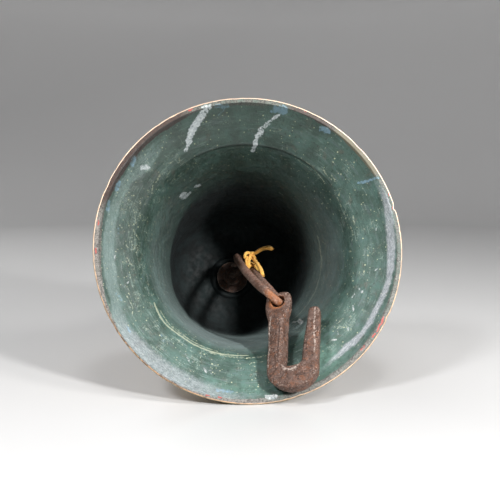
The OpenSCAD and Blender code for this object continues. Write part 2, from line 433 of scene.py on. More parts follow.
def rusty_iron(name, light, orange, socket=None):
    """Forged iron under brown rust: orange patches, dark pits, paler edges, and fresh rust in a socket.
    light scales every shade: copies made lighter are painted light, copies made darker painted shade.
    """
    p = Paint(name)
    dark, brown, grey, rust, tan, pale = (tuple(c * light for c in shade) for shade in (
        srgb(44, 32, 28), srgb(98, 70, 57), srgb(118, 94, 84), srgb(148, 92, 60), srgb(160, 124, 102),
        srgb(200, 182, 170)))
    p.ground(p.step(p.noise(7, 6, 0.65), 0.40, 0.60), brown, grey)
    p.coat(p.step(p.noise(6, 7, 0.7, warp=0.6), 0.50, 0.62), rust, orange)
    coarse = p.noise(3.2, 6, 0.75)
    p.coat(p.step(coarse, 0.48, 0.36, 0.0, 0.75), dark)
    grain = p.noise(1.5, 6, 0.75)
    p.coat(p.step(grain, 0.46, 0.34, 0.0, 0.6), dark)
    p.coat(p.step(grain, 0.57, 0.68, 0.0, 0.45), tan)
    pits = p.times(p.step(p.cells(3.4), 0.34, 0.12), p.step(p.noise(6, 5), 0.42, 0.58))
    p.coat(pits, dark, 0.85)
    edge = p.plus(p.pointiness(), p.times(p.noise(2.2, 6, 0.8), 0.20))
    p.coat(p.step(edge, 0.614, 0.655), pale, 0.7)
    chips = p.step(p.noise(1.8, 6, 0.8), 0.655, 0.71, 0.0, 0.5)
    p.coat(p.times(chips, p.step(p.noise(8), 0.50, 0.62)), pale)
    ridge = p.attribute("ridge")
    rubbed = p.step(p.plus(p.noise(2.4, 6, 0.8), p.times(ridge, 0.16)), 0.60, 0.68)
    p.coat(p.times(rubbed, ridge), pale, 0.9)
    p.coat(p.attribute("seam"), dark, 0.6)
    p.coat(p.step(p.pointiness(), 0.475, 0.415, 0.0, 0.8), dark)
    if socket:
        fresh = p.times(p.attribute(socket), p.step(p.noise(2.5, 6, 0.7), 0.35, 0.6, 0.3, 0.85))
        p.coat(fresh, srgb(150, 90, 46))
    height = p.plus(p.plus(grain, p.times(coarse, 1.6)), p.times(pits, -0.6))
    rough = p.step(grain, 0.3, 0.7, 0.80, 0.52)
    return p.done(rough, p.bump(height, 0.5), Specular_IOR_Level=0.35)


# ---------------------------------------------------------------- bell

LIP_INNER_R = 135.0
MOUTH_R = 140.0
LIP_ROUND = 1.5
BOLT_HOLE_R = 7.6
CROWN_Z = 232.0
BOSS_TOP = 244.0
BELL_SEGMENTS = 640
# Where the flare meets the throat
CREASE_R = 102.4
# The wall inside and outside, as (radius, height), and the beads, as (radius, height, their own radius)
INNER_POINTS = [(135, 0), (126, 7), (113.5, 14.5), (102, 23), (94.5, 36), (88, 53), (84, 72), (80.5, 98),
                (77, 140), (74, 182), (69, 208), (58, 223), (42, 230), (28, 232)]
OUTER_POINTS = [(140, 1.5), (136.5, 5), (129.5, 11), (122, 19), (113, 33), (104, 53), (97, 75), (91.5, 103),
                (87, 140), (83, 182), (78.5, 208), (73, 219), (62, 230), (46, 238), (32, 241)]
BEADS = [(115.6, 28.5, 1.6), (110.8, 37, 2.2), (90.1, 113, 1.8), (89.2, 120, 2.6), (88.3, 127, 1.8),
         (80.9, 197, 1.8), (78.5, 208, 3.0)]
# The low ring round the bolt, inside the crown
BOSS_RING_R = 23.0
BOSS_RING_WIRE = 3.0


def with_beads(outline):
    """Raises the moulding beads from the outside outline."""
    tangent = np.gradient(outline, axis=0)
    tangent /= np.linalg.norm(tangent, axis=1)[:, None]
    outward = np.stack([tangent[:, 1], -tangent[:, 0]], axis=1)
    raised = np.zeros(len(outline))
    for r, z, bead_r in BEADS:
        away = np.hypot(outline[:, 0] - r, outline[:, 1] - z)
        raised = np.maximum(raised, np.sqrt(np.clip(bead_r**2 - away**2, 0, None)))
    return outline + outward * raised[:, None]


def bell_outline():
    """The closed outline of the bell's wall, and the count of its points that are inside and on the lip."""
    ring = [(BOSS_RING_R - BOSS_RING_WIRE * math.cos(a), CROWN_Z - BOSS_RING_WIRE * math.sin(a))
            for a in np.linspace(0, math.pi, 14)]
    crown = resample([(BOLT_HOLE_R, CROWN_Z), (19.5, CROWN_Z)], 2.0)
    wall = smooth(INNER_POINTS, 12)[::-1]
    deep = wall[wall[:, 1] > 80]
    flare = wall[wall[:, 1] <= 80]
    inside = np.vstack([crown, ring, resample(deep, 1.8), resample(flare, 0.85)])
    flat = resample([(LIP_INNER_R + 0.5, 0), (MOUTH_R - LIP_ROUND, 0)], 0.6)
    rounding = [(MOUTH_R - LIP_ROUND + LIP_ROUND * math.sin(a), LIP_ROUND - LIP_ROUND * math.cos(a))
                for a in np.linspace(0.25, math.pi / 2 - 0.1, 5)]
    outside = with_beads(resample(smooth(OUTER_POINTS, 12), 0.9)[1:])
    boss = resample([(30, 241), (26.6, 241.2), (26, 242), (26, 243.2), (25.2, 244)], 0.8)
    top = resample([(24, BOSS_TOP), (BOLT_HOLE_R, BOSS_TOP)], 2.5)
    bore = resample([(BOLT_HOLE_R, 242), (BOLT_HOLE_R, 234)], 3.0)
    lip_end = len(inside) + len(flat) + len(rounding)
    return np.vstack([inside, flat, rounding, outside, boss, top, bore]), len(inside), lip_end


def inside_height(radius):
    """The height of the inside wall at a radius."""
    wall = smooth(INNER_POINTS, 12)[::-1]
    return np.interp(radius, wall[:, 0], wall[:, 1])


def on_inside(path):
    """(angle in degrees, radius) points as points on the inside wall."""
    line = curved(path)
    a = np.radians(line[:, 0])
    return np.stack([line[:, 1] * np.cos(a), line[:, 1] * np.sin(a), inside_height(line[:, 1])], axis=1)


def curved(path):
    """A smooth curve through three or more points. Two stay as they are."""
    return smooth(path, 5) if len(path) > 2 else np.asarray(path, float)


def away_from(points, line):
    """Distance of each point from a line of straight pieces."""
    nearest = np.full(len(points), 1e9)
    for a, b in zip(line[:-1], line[1:]):
        span = b - a
        t = np.clip((points - a) @ span / max(span @ span, 1e-9), 0, 1)
        nearest = np.minimum(nearest, np.linalg.norm(points - a - t[:, None] * span, axis=1))
    return nearest


def around(angle, low, high, soft):
    """1 between two angles in degrees, 0 outside them, with soft ends."""
    middle = (low + high) / 2
    off = np.abs((angle - middle + 180) % 360 - 180)
    return 1 - ease(off, (high - low) / 2 - soft / 2, (high - low) / 2 + soft / 2)


def between(value, low, high, soft):
    """1 between two values, 0 outside them, with soft ends."""
    return ease(value, low - soft, low + soft) * (1 - ease(value, high - soft, high + soft))


def at_angle(angle, table):
    """Reads a table of (degrees, value) round the full circle."""
    table = np.asarray(table, float)
    return np.interp(angle, table[:, 0], table[:, 1], period=360)


# Where the painted shadow deep inside starts, following where the lamps stop reaching, as (degrees,
# height), and how softly, as (degrees, height)
SHADOW_EDGE_Z = [(0, 120), (30, 150), (60, 185), (90, 196), (120, 198), (150, 190), (180, 180), (200, 145),
          (220, 112), (245, 88), (270, 76), (300, 84), (330, 102)]
SHADOW_EDGE_SOFT = [(0, 34), (45, 26), (90, 14), (180, 8), (220, 10), (250, 30), (270, 40), (330, 40)]

# Pale slate-grey painted light on the throat's wall, strongest at the bottom and none at the top, as
# (degrees, strength)
THROAT_LIGHT = [(0, 0.6), (45, 0.65), (75, 0.9), (100, 1.0), (125, 1.0), (150, 0.6), (180, 0.3), (230, 0.1),
         (270, 0.0), (300, 0.1), (330, 0.3)]

# Where the lip is worn bare, as (degrees, radius)
WORN_FROM = [(0, 134.5), (30, 134), (60, 134), (80, 134.5), (96, 135.5), (108, 137), (122, 138), (146, 138),
             (158, 136.5), (170, 133.5), (180, 132.5), (197, 133.5), (206, 132), (240, 132), (250, 134),
             (272, 132.5), (283, 135), (300, 134), (308, 134), (315, 133.5), (330, 133.5), (340, 136.5),
             (352, 135.5)]

# Nicks in the lip, as (degrees, width in degrees, depth)
NICKS = [(346, 1, 1.3), (318, 2.2, 0.5), (203, 1.4, 0.5), (151, 1.8, 0.4), (28.5, 1.2, 0.6), (121, 1, 0.4),
         (266, 1.5, 0.4), (74, 1.2, 0.4)]

# How strong the painted highlight on the lip's worn bare edge is, as (degrees, strength)
EDGE_HIGHLIGHT = [(0, 0.5), (30, 0.35), (60, 0.4), (90, 0.35), (110, 0.1), (145, 0.05), (165, 0.3), (190, 0.7),
               (250, 0.5), (290, 0.75), (310, 1.0), (345, 0.9)]

# Painted shade over the paint, darkest on what is now the upper side, as (degrees, strength)
TOP_SHADE = [(0, 0.3), (30, 0.25), (60, 0.2), (90, 0.15), (120, 0.15), (150, 0.4), (180, 0.65), (210, 0.9),
         (240, 1.0), (270, 1.0), (300, 0.85), (330, 0.55)]

# Pale band by the lip, partly bloom on the paint and partly a painted reflection of the pale table:
# (degrees, inner radius, outer radius, strength)
BLOOM_AND_REFLECTION = [(0, 127, 134, 0.9), (16, 128, 132.5, 0.9), (26, 126, 130.5, 1), (39, 126, 130, 1),
         (48, 123, 128.5, 1), (56, 124, 127.5, 0.7), (64, 127, 130, 0.3), (80, 129, 133, 0.3),
         (92, 129.5, 135, 0.5), (106, 125, 138.5, 0.7), (120, 123.5, 138.5, 0.8), (134, 124, 138.5, 0.8),
         (146, 126, 138.5, 0.9), (152, 125.5, 138, 0.9), (160, 123, 133, 0.8), (172, 121.5, 132, 0.9),
         (188, 122, 131.5, 0.8), (201, 122.5, 131, 0.6), (210, 121.5, 131, 0.6), (219, 116, 130.5, 0.6),
         (226, 118.5, 130.5, 0.5), (237, 127, 131, 0.2), (250, 129, 131, 0), (325, 131, 133, 0),
         (335, 131.5, 136, 0.5), (344, 130.5, 137, 0.8), (352, 128, 135, 0.8)]

# Lime and dried splashes: (points as (degrees, radius), half width, strength)
CHALK = [
    ([(254, 134.5), (250.5, 129)], 4.2, 0.8),
    ([(250, 128.5), (246.5, 123.5), (243.5, 118), (242, 115)], 3.6, 1),
    ([(240.5, 112), (238.5, 109.5)], 2, 0.8),
    ([(283.5, 128), (281, 123)], 1.9, 0.8),
    ([(280.5, 121.5), (278.5, 117)], 2.6, 0.7),
    ([(277.5, 114), (276, 109)], 3.4, 0.9),
    ([(275.5, 105.5), (274.5, 98)], 2.6, 0.9),
    ([(225.5, 86.5), (227, 84.5), (230, 84.5)], 4, 0.9),
    ([(236.5, 85.5), (239, 85)], 3, 0.8),
    ([(219.5, 119.5), (217.5, 122.5)], 3.2, 0.8),
    ([(85.5, 134.5), (82.5, 134.5)], 2.6, 1),
    ([(51, 86), (49.5, 83)], 2.6, 1),
    ([(51.5, 83), (52.5, 81.5)], 1.8, 0.8),
    ([(112, 116.5), (110.5, 118.5)], 1.3, 0.8),
    ([(109, 116), (112.5, 119)], 1.1, 0.6),
    ([(108, 118.5), (111.5, 117)], 0.8, 0.6),
    ([(122, 112), (119.5, 115.5)], 1.3, 0.5),
    ([(117, 113), (118.5, 117)], 1.1, 0.5),
    ([(178.5, 121), (176, 121.5)], 1.3, 0.6),
    ([(163, 118), (166, 112.5)], 1.2, 0.5),
    ([(10, 120), (11, 118.5)], 1, 0.8),
    ([(21, 113), (22.5, 112)], 1.2, 0.8),
    ([(20, 108), (22, 110.5)], 0.8, 0.7),
    ([(24, 107), (26.5, 106)], 0.9, 0.7),
    ([(30, 110), (32, 112)], 1, 0.8),
    ([(28.5, 114), (30, 111.5)], 0.7, 0.6),
    ([(40, 116), (41.5, 117.5)], 0.9, 0.7),
    ([(48, 115), (49.5, 112.5)], 0.9, 0.8),
    ([(45, 112), (46.5, 114)], 0.7, 0.6),
    ([(352, 121), (353, 120)], 0.9, 0.7),
    ([(6.5, 113), (7.5, 112)], 0.8, 0.6),
]

# Worn and scratched lines, yellowish: (points as (degrees, radius), half width, strength)
SCRATCHES = [
    ([(151, 99.5), (141, 102.5), (131, 101), (121.5, 100.5), (109, 99.5), (98, 98), (91.5, 97)], 1.2, 1),
    ([(146, 98.5), (138, 100), (128, 99), (118, 98.5), (108, 97.5)], 0.8, 0.8),
    ([(112, 101), (100, 100), (90, 99.5), (82, 99)], 1.3, 0.6),
    ([(137, 97.5), (126, 98.5), (116.5, 98)], 0.6, 0.6),
    ([(141, 89), (133, 89.5)], 0.7, 0.5),
    ([(354.5, 81.5), (5, 82), (15, 81.5), (24, 81.5), (32.5, 81), (45.5, 80.5), (54, 79.5)], 1.6, 0.9),
    ([(321.5, 83.5), (328, 83), (335.5, 82.5), (344, 83)], 0.5, 0.6),
    ([(304, 102.5), (309, 102), (314, 100.5), (319, 100)], 0.6, 0.8),
    ([(298, 101), (303, 100), (307, 100)], 0.6, 0.6),
    ([(330, 100.5), (336, 99.5), (343, 99.5), (350, 99.5)], 0.8, 0.6),
    ([(334, 98), (341, 97), (347, 97)], 0.8, 0.4),
    ([(92, 104.5), (84, 104)], 0.6, 0.6),
    ([(100, 105.5), (96, 105)], 0.9, 0.5),
    ([(262, 60), (285, 62), (305, 66), (325, 70)], 0.5, 0.4),
    ([(190, 96), (196, 97.5), (200, 99)], 0.8, 0.4),
    ([(160, 119), (154, 118), (151, 121)], 0.7, 0.7),
    ([(163, 115), (158, 116.5)], 0.6, 0.5),
    ([(150, 114), (147, 118)], 0.6, 0.5),
    ([(193, 106), (197, 108.5)], 0.8, 0.6),
    ([(203, 108), (206, 110)], 0.9, 0.7),
    ([(211, 104), (214.5, 106.5)], 0.9, 0.7),
    ([(217, 106), (221, 107.5)], 1, 0.7),
    ([(222, 102), (226, 103.5)], 0.8, 0.6),
    ([(228, 109), (231, 108)], 0.8, 0.6),
    ([(186, 101), (188, 104)], 1, 0.6),
    ([(173, 108), (176, 111)], 1.1, 0.6),
    ([(181, 111), (184, 112.5)], 0.8, 0.6),
    ([(314, 106), (318, 104.5), (321, 105)], 1, 0.6),
    ([(319, 107.5), (323, 107)], 1.3, 0.5),
    ([(323, 102.5), (327, 101.5)], 0.9, 0.5),
    ([(343, 105), (348, 104)], 1.1, 0.6),
    ([(348, 101), (353, 101.5)], 1, 0.6),
    ([(38, 108), (42, 106)], 0.9, 0.5),
    ([(33, 105), (36, 107)], 0.8, 0.5),
    ([(12, 106), (16, 107.5)], 0.9, 0.5),
]

# Light blue corrosion at and near the lip, as the scratches
BLUE = [
    ([(207, 131.5), (204, 131)], 2.6, 0.8),
    ([(198.5, 132.5), (194.5, 131.5)], 2, 0.7),
    ([(218.5, 132), (216, 130.5)], 3, 0.8),
    ([(257.5, 134.5), (262, 133)], 2.4, 0.8),
    ([(262, 132.5), (258, 127)], 0.9, 0.6),
    ([(250, 124), (262, 124)], 3.5, 0.3),
    ([(285.5, 133), (281.5, 131.5)], 4.2, 0.9),
    ([(305, 132.5), (302.5, 131.5)], 3.2, 0.9),
    ([(330, 121), (331.5, 128), (332.5, 136)], 1.7, 0.8),
    ([(147.5, 131.5), (145, 131)], 2.2, 0.6),
    ([(161, 126), (158.5, 124.5)], 1.8, 0.6),
    ([(104.5, 130.5), (99, 130.5)], 2.6, 0.6),
    ([(136, 112), (133.5, 114)], 2, 0.5),
    ([(188.5, 120), (186.5, 118)], 2, 0.4),
]

# Red paint left on the lip, as the scratches
RED = [
    ([(29.5, 136), (32, 137)], 0.9, 0.9),
    ([(32.5, 136), (35.5, 137)], 0.9, 0.9),
    ([(36.5, 136.5), (38, 136.5)], 1, 0.9),
    ([(43, 135.5), (45, 135.5)], 1.1, 0.6),
    ([(108, 137), (107, 137)], 0.9, 0.8),
    ([(103.5, 136.5), (102.5, 136.5)], 0.8, 0.8),
    ([(170.5, 138), (167.5, 138)], 0.5, 0.4),
    ([(179.5, 137), (178, 137)], 0.9, 0.7),
    ([(190, 137), (188.5, 136.5)], 0.9, 0.8),
    ([(248.5, 137.5), (247, 137.5)], 1, 0.8),
    ([(340, 138.5), (341, 138)], 0.7, 0.6),
    ([(346, 138.5), (345.5, 138)], 0.8, 0.7),
    ([(293.5, 138), (293, 138)], 0.7, 0.6),
]


def strokes(points, table, seed):
    """The strongest of a table of strokes at each point, with wavering edges."""
    best = np.zeros(len(points))
    waver = 1 + 0.45 * noise(points, 2.6, seed, 2)
    for path, half_width, strength in table:
        line = on_inside(path)
        near = np.linalg.norm(points - line.mean(0), axis=1) < 60 + np.ptp(line, axis=0).max()
        away = away_from(points[near], line)
        reach = half_width * waver[near]
        best[near] = np.maximum(best[near], strength * (1 - ease(away, 0.55 * reach, 1.35 * reach)))
    return best


def wear_casting(obj, at, angle, r, inside, lip):
    """Uneven casting, a crease where the flare meets the throat, tool lines, and nicks in the lip; the
    crease is also stored for the painted shade in it.
    """
    z = at[:, 2]
    shift = 0.28 * noise(at, 30, 11, 2) + 0.10 * noise(at, 8, 12, 2)
    turned = np.stack([at[:, 0] / r * 9, at[:, 1] / r * 9, r + z * 0.6], axis=1)
    crease_r = CREASE_R + 1.2 * noise(turned * [1, 1, 0], 7, 13, 2)
    crease_and_shade = np.exp(-((r - crease_r) / 0.75) ** 2) * inside * (z < 60)
    crease_and_shade *= 0.08 + 0.92 * around(angle, 240, 318, 20)
    shift -= 0.55 * crease_and_shade
    shift -= 0.14 * ease(noise(turned, 1.7, 14), 0.25, 0.8) * inside * (z < 120)
    shift += 0.10 * noise(turned * [3, 3, 0.08], 2.0, 15, 2) * inside
    push(obj, shift * np.where(lip, 0.5, 1.0))
    rim = ease(r, 134, 139) * (z < 6)
    nibble = 0.35 * ease(noise(at, 4.5, 16, 3), 0.15, 0.8) * rim
    for nick, width, depth in NICKS:
        nibble = nibble + depth * np.exp(-(((angle - nick + 180) % 360 - 180) / width) ** 2) * rim
    moved = positions(obj)
    moved[:, :2] *= (1 - nibble / np.maximum(r, 1))[:, None]
    reshape(obj, moved)
    # The crease's mask also carries the painted shade laid in it
    mask(obj, "crease_and_shade", crease_and_shade)


def mask_lip(obj, at, angle, r, z):
    """Where the lip is worn, what is on it, and its worn edge with its painted highlight."""
    worn_from = at_angle(angle, WORN_FROM) + 0.7 * noise(at, 3.5, 23, 2)
    mask(obj, "lip", ease(r, worn_from - 0.35, worn_from + 0.35) * (z < 4))
    mask(obj, "lip_brown", np.maximum(around(angle, 196, 246, 8), 0.8 * around(angle, 286, 306, 8)))
    mask(obj, "lip_khaki", around(angle, 307, 331, 3))
    mask(obj, "lip_pale", np.maximum(around(angle, 84, 194, 14), 0.5 * around(angle, 38, 70, 14)))
    mask(obj, "edge", ease(r, 138.55, 138.9) * (z < 5))
    mask(obj, "edge_highlight", at_angle(angle, EDGE_HIGHLIGHT))


def mask_inside(obj, at, angle, r, z, inside, lip):
    """Bloom with its painted reflection, strokes, wear, painted shade on the upper side, painted light on
    the throat's wall, and painted shadow deep inside.
    """
    painted = inside | lip
    band_in = at_angle(angle, [(b[0], b[1]) for b in BLOOM_AND_REFLECTION]) + 0.5 * noise(at, 6, 21, 2)
    band_out = at_angle(angle, [(b[0], b[2]) for b in BLOOM_AND_REFLECTION]) + 0.9 * noise(at, 4, 22, 2)
    band_strength = at_angle(angle, [(b[0], b[3]) for b in BLOOM_AND_REFLECTION])
    fading = 1 - around(angle, 90, 160, 20) * (1 - ease(r, band_in - 1, band_in + 6)) * 0.75
    # Pale band: partly bloom on the paint, partly a painted reflection of the pale table
    mask(obj, "bloom_and_reflection", band_strength * between(r, band_in, band_out, 1.5) * fading * painted)
    mask(obj, "white_bloom_and_reflection", np.maximum(0.7 * around(angle, 92, 150, 20), around(angle, 335, 420, 12)))
    mask(obj, "chalk", strokes(at, CHALK, 31) * painted)
    mask(obj, "scratch", strokes(at, SCRATCHES, 32) * inside)
    mask(obj, "blue", strokes(at, BLUE, 33) * painted)
    mask(obj, "red", strokes(at, RED, 34) * painted)
    shadow_z = at_angle(angle, SHADOW_EDGE_Z)
    shadow_soft = at_angle(angle, SHADOW_EDGE_SOFT)
    # Painted shadow deep inside, from the edge of the lamps' reach on
    mask(obj, "depth", ease(z, shadow_z - shadow_soft, shadow_z + shadow_soft) * inside)
    # Painted light on the throat's wall, strongest at the bottom
    mask(obj, "throat_light", ease(z, 26, 56) * at_angle(angle, THROAT_LIGHT) * inside)
    wear = 0.45 + 0.55 * around(angle, 100, 245, 60) + 0.35 * around(angle, 300, 365, 40)
    streaky = around(angle, 10, 58, 12) * between(r, 105, 122, 4)
    mask(obj, "wear", np.maximum(wear * between(r, 92, 128, 8), streaky) * inside)
    mint_patch = around(angle, 52, 78, 14) * between(r, 112, 131, 6)
    mint_rim = 0.5 * around(angle, 84, 108, 12) * between(r, 122, 132, 4)
    mask(obj, "mint", np.maximum(mint_patch, mint_rim) * inside)
    # Painted shade, darkest on what is now the upper side
    mask(obj, "top_shade", at_angle(angle, TOP_SHADE) * inside)


def make_bell():
    """The casting: painted inside and on the flat of its lip, and bare brass outside."""
    outline, inside_count, lip_end = bell_outline()
    points, faces = lathe(outline, BELL_SEGMENTS)
    obj = new_object("bell_casting", points, faces[:, ::-1])
    at = positions(obj)
    row = np.arange(len(at)) // BELL_SEGMENTS
    angle = np.degrees(np.arctan2(at[:, 1], at[:, 0])) % 360
    r = np.hypot(at[:, 0], at[:, 1])
    z = at[:, 2]
    inside = row < inside_count
    lip = (row >= inside_count - 2) & (row < lip_end)
    wear_casting(obj, at, angle, r, inside, lip)
    mask_inside(obj, at, angle, r, z, inside, lip)
    mask_lip(obj, at, angle, r, z)
    vectors(obj, "turned", np.stack([at[:, 0] / r * 100, at[:, 1] / r * 100, r - 0.5 * z], axis=1))
    vectors(obj, "home", at)
    settle(obj)
    obj.data.materials.append(painted_inside())
    obj.data.materials.append(aged_brass())
    face_row = np.arange(len(obj.data.polygons)) // BELL_SEGMENTS
    obj.data.polygons.foreach_set("material_index", (face_row >= lip_end - 3).astype(np.int32))
    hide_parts("bell")
    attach(obj, "bell_body")


def old_paint(p, rings):
    """Dark green paint, faded and mottled."""
    p.ground(p.step(p.noise(30, 6, 0.62), 0.38, 0.62), srgb(58, 79, 70), srgb(76, 100, 91))
    p.coat(p.step(p.noise(15, 7, 0.7, warp=0.5), 0.48, 0.66, 0, 0.4), srgb(80, 114, 108))
    p.coat(p.step(rings, 0.50, 0.72, 0, 0.6), srgb(100, 110, 114))
    p.coat(p.step(rings, 0.46, 0.32, 0, 0.5), srgb(44, 60, 54))
    p.coat(p.step(p.noise(8, 7, 0.72), 0.54, 0.68, 0, 0.55), srgb(92, 88, 78))
    p.coat(p.step(p.noise(3.0, 7, 0.8), 0.46, 0.34, 0, 0.8), srgb(32, 46, 40))
    p.coat(p.step(p.noise(2.0, 7, 0.8), 0.55, 0.68, 0, 0.35), srgb(126, 148, 138))
    mint = p.times(p.attribute("mint"), p.step(p.noise(5, 6, 0.7), 0.36, 0.62, 0.15, 0.65))
    p.coat(mint, p.mix(p.noise(3, 5), srgb(96, 134, 120), srgb(124, 162, 146)))


def specks(p, turned):
    """Specks and short scratches, thickest where the paint is worn. Gives the specks."""
    crowd = p.step(p.noise(11, 4, 0.6), 0.40, 0.62, -0.05, 0.07)
    wear = p.plus(p.times(p.attribute("wear"), 0.10), crowd)
    speck = p.step(p.plus(p.noise(2.3, 6, 0.78), wear), 0.715, 0.775)
    p.coat(speck, srgb(178, 182, 158), 0.72)
    radial = p.noise(2.2, 5, 0.7, stretch=(1.6, 1.6, 0.35), vector=turned)
    p.coat(p.step(p.plus(radial, wear), 0.715, 0.775), srgb(166, 182, 170), 0.35)
    arcs = p.noise(1.8, 5, 0.68, stretch=(0.11, 0.11, 1.6), vector=turned)
    p.coat(p.step(p.plus(arcs, wear), 0.655, 0.735), srgb(146, 166, 158), 0.32)
    for size, spread in ((5.5, 14), (3.6, 9)):
        dots = p.times(p.step(p.cells(size), 0.17, 0.10), p.step(p.noise(spread, 3), 0.48, 0.58))
        p.coat(dots, srgb(186, 190, 160), 0.8)
    return speck


def pale_bloom_and_reflection(p, turned):
    """Pale band near the lip, partly bloom and partly a painted reflection, greenish in places and white in
    others. Gives where it lies.
    """
    grain = p.math("SUBTRACT", p.noise(2.2, 8, 0.85), 0.5)
    bloom_and_reflection = p.step(p.plus(p.attribute("bloom_and_reflection"), p.times(grain, 1.7)), 0.10, 1.05)
    fine = p.step(p.noise(1.3, 7, 0.85, stretch=(0.5, 0.5, 1.4), vector=turned), 0.36, 0.64)
    green = p.mix(fine, srgb(96, 113, 110), srgb(126, 140, 137))
    white = p.mix(fine, srgb(112, 116, 124), srgb(188, 189, 192))
    p.coat(bloom_and_reflection, p.mix(p.attribute("white_bloom_and_reflection"), green, white), 0.80)
    return bloom_and_reflection


def worn_lip(p, covered):
    """The flat of the lip, rubbed and speckled where it isn't covered, and its worn bare edge with a
    painted highlight. Gives the edge.
    """
    speckle = p.noise(1.5, 7, 0.8)
    bare = p.mix(p.step(speckle, 0.40, 0.60), srgb(54, 53, 50), srgb(108, 108, 100))
    bare = p.mix(p.step(p.noise(6, 5, 0.7), 0.45, 0.62, 0, 0.6), bare, srgb(84, 100, 92))
    brown = p.mix(p.noise(2.2, 5), srgb(34, 24, 22), srgb(76, 58, 50))
    khaki = p.mix(p.noise(3, 6, 0.7), srgb(84, 80, 66), srgb(112, 106, 88))
    for name, limits, shade in (("lip_pale", (0.40, 0.60, 0.1, 0.9), srgb(134, 127, 122)),
                                ("lip_brown", (0.66, 0.54, 0.3, 1), brown),
                                ("lip_khaki", (0.30, 0.5, 0.6, 1), khaki)):
        bare = p.mix(p.times(p.attribute(name), p.step(speckle, *limits)), bare, shade)
    lip = p.ragged("lip", 1.8, 0.5, 0.40, 0.60)
    p.coat(p.times(lip, p.math("SUBTRACT", 1.0, covered)), bare)
    p.coat(p.ragged("red", 1.1, 0.9, 0.40, 0.72), srgb(166, 64, 58), 0.85)
    edge = p.ragged("edge", 1.6, 0.2, 0.40, 0.70)
    gold = p.mix(p.step(p.noise(7, 4, 0.6), 0.42, 0.58), srgb(78, 56, 44), srgb(176, 134, 98))
    # The worn edge: bare gold metal, with a near-white painted highlight that varies round the lip
    p.coat(edge, p.mix(p.attribute("edge_highlight"), gold, srgb(250, 222, 196)))
    return edge


def painted_shade_and_light(p, rings, bloom_and_reflection, scratch):
    """Painted shade on what is now the upper side, painted light on the throat's wall, and painted shadow
    deep inside, with the scratches still showing in it.
    """
    uncovered = p.math("SUBTRACT", 0.9, p.times(bloom_and_reflection, 0.5))
    # Painted shade on what is now the upper side, less where the pale band lies
    dimmed = p.mix(1.0, p.colour, srgb(112, 120, 114), "MULTIPLY")
    p.coat(p.times(p.attribute("top_shade"), uncovered), dimmed)
    # Pale slate-grey painted light on the throat's wall
    p.coat(p.attribute("throat_light"), p.mix(rings, srgb(92, 104, 104), srgb(128, 138, 138)), 0.75)
    # Near-black painted shadow deep inside, where the lamps don't reach
    depth = p.attribute("depth")
    shadow_tone = p.mix(p.step(p.noise(14, 6, 0.65), 0.38, 0.62), srgb(9, 12, 13), srgb(19, 27, 28))
    p.coat(depth, shadow_tone, 0.95)
    p.coat(p.times(scratch, depth), srgb(120, 134, 124), 0.5)


def painted_inside():
    """Old dark green paint and verdigris: scratched, splashed with lime, worn to bare metal at the lip, and
    with painted shade, shadow, light and reflection laid in.
    """
    p = Paint("painted_inside")
    turned = p.attribute("turned", "Vector")
    rings = p.noise(5, 6, 0.7, stretch=(0.30, 0.30, 1.7), vector=turned)
    old_paint(p, rings)
    speck = specks(p, turned)
    bloom_and_reflection = pale_bloom_and_reflection(p, turned)
    blue = p.ragged("blue", 2.6, 0.8, 0.35, 0.95)
    p.coat(blue, srgb(126, 156, 176), 0.72)
    chalk = p.ragged("chalk", 2.4, 0.9, 0.42, 0.92)
    scratch = p.ragged("scratch", 1.6, 0.9, 0.40, 0.80)
    p.coat(scratch, srgb(184, 188, 164), 0.62)
    # Painted shade in the crease where the flare meets the throat
    p.coat(p.attribute("crease_and_shade"), srgb(24, 28, 28), 0.65)
    edge = worn_lip(p, p.math("MAXIMUM", p.times(blue, 0.8), chalk))
    painted_shade_and_light(p, rings, bloom_and_reflection, scratch)
    # The lime is darker too under the painted shade on the upper side
    lime = p.mix(p.attribute("top_shade"), srgb(224, 224, 222), srgb(156, 160, 160))
    p.coat(chalk, p.mix(p.step(p.noise(2, 6, 0.75), 0.35, 0.65), srgb(118, 126, 128), lime), 0.75)
    height = p.plus(p.noise(3.2, 8, 0.72), p.times(chalk, 0.35))
    height = p.plus(height, p.times(p.plus(speck, scratch), -0.25))
    rough = p.step(p.noise(6, 5), 0.35, 0.65, 0.40, 0.62)
    rough = p.plus(rough, p.times(p.math("MAXIMUM", bloom_and_reflection, chalk), 0.2), clamp=True)
    rough = p.plus(rough, p.times(p.attribute("depth"), 0.3), clamp=True)
    rough = p.math("SUBTRACT", rough, p.times(edge, 0.2), clamp=True)
    return p.done(rough, p.bump(height, 0.34, 0.85), Specular_IOR_Level=0.35)


